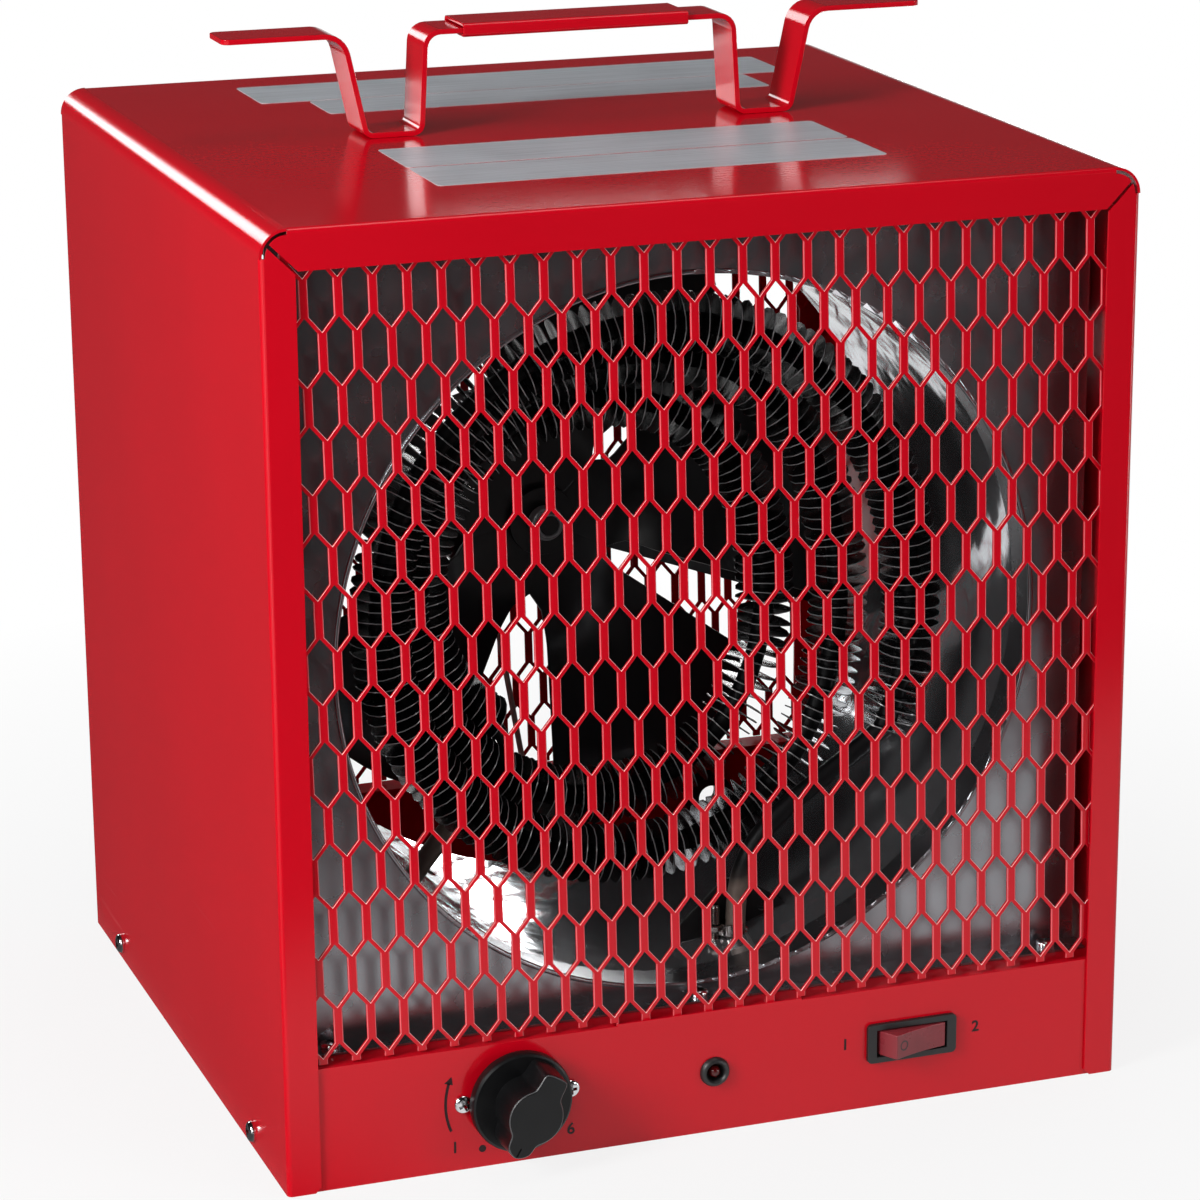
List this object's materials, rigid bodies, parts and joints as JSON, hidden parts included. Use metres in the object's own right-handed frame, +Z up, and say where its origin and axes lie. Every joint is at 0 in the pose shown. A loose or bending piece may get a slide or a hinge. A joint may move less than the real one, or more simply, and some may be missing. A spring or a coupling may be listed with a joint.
{
  "type": "infrared garage heater",
  "caption": "Portable cube-shaped electric fan heater: red sheet cabinet, expanded-metal grille, finned coil in a round opening, front controls and a bent strip handle.",
  "frame": {"origin": "centre of the cabinet's footprint on the resting plane", "axes": "+Z up, -Y out of the front grille, +X to the right as seen from the front"},
  "size_m": [0.3352, 0.3245, 0.3953],
  "materials": {
    "red_paint": "gloss red enamel",
    "bright_sheet": "bright coated sheet",
    "polished_drum": "polished",
    "element_sheath": "heat-browned tube",
    "element_black": "black oxide",
    "black_part_metal": "black paint",
    "zinc": "zinc plated",
    "motor_steel": "dark paint",
    "bearing_brass": "sintered",
    "ceramic": "fired, off-white",
    "black_plastic": "satin moulding",
    "lamp_red": "clear red",
    "rocker_red": "dark red",
    "screw_chrome": "bright",
    "wire_insulation": "fabric-covered"
  },
  "bodies": {
    "casing": {"cabinet_shell": "red_paint", "base_pan": "red_paint", "front_grille": "red_paint", "rear_grille": "red_paint", "handle_strip": "red_paint", "grip_sleeve": "red_paint", "baffle_plate": "bright_sheet", "air_drum": "polished_drum", "element_tube": "element_sheath", "element_fins": "element_black", "element_terminals": "ceramic", "element_saddle": "black_part_metal", "motor_shell_front": "motor_steel", "motor_shell_rear": "motor_steel", "motor_stator": "motor_steel", "motor_bearings": "bearing_brass", "motor_bracket": "black_part_metal", "motor_screws": "zinc", "thermostat_body": "ceramic", "thermostat_screws": "screw_chrome", "lamp_bezel": "black_plastic", "lamp_lens": "lamp_red", "switch_frame": "black_plastic", "casing_screws": "screw_chrome", "baffle_screws": "screw_chrome", "terminal_block": "ceramic", "limit_cutout": "black_plastic", "cord_gland": "black_plastic", "wire_leads": "wire_insulation"},
    "fan": {"fan_blades": "black_part_metal", "fan_hub": "black_part_metal", "fan_collar": "black_part_metal", "motor_shaft": "zinc", "motor_rotor": "zinc"},
    "knob": {"thermostat_knob": "black_plastic", "thermostat_shaft": "zinc"},
    "rocker": {"switch_rocker": "rocker_red"}
  },
  "joints": [
    {"name": "fan_spin", "type": "hinge", "parent": "casing", "child": "fan", "pos_m": [0, 0.046, 0.187], "axis": [0, 1, 0], "continuous": true},
    {"name": "knob_turn", "type": "hinge", "parent": "casing", "child": "knob", "pos_m": [-0.0775, -0.15, 0.026], "axis": [0, 1, 0], "range_deg": [0, 290]},
    {"name": "rocker_tilt", "type": "hinge", "parent": "casing", "child": "rocker", "pos_m": [0.0795, -0.1455, 0.026], "axis": [0, 0, -1], "range_deg": [0, 32]}
  ]
}
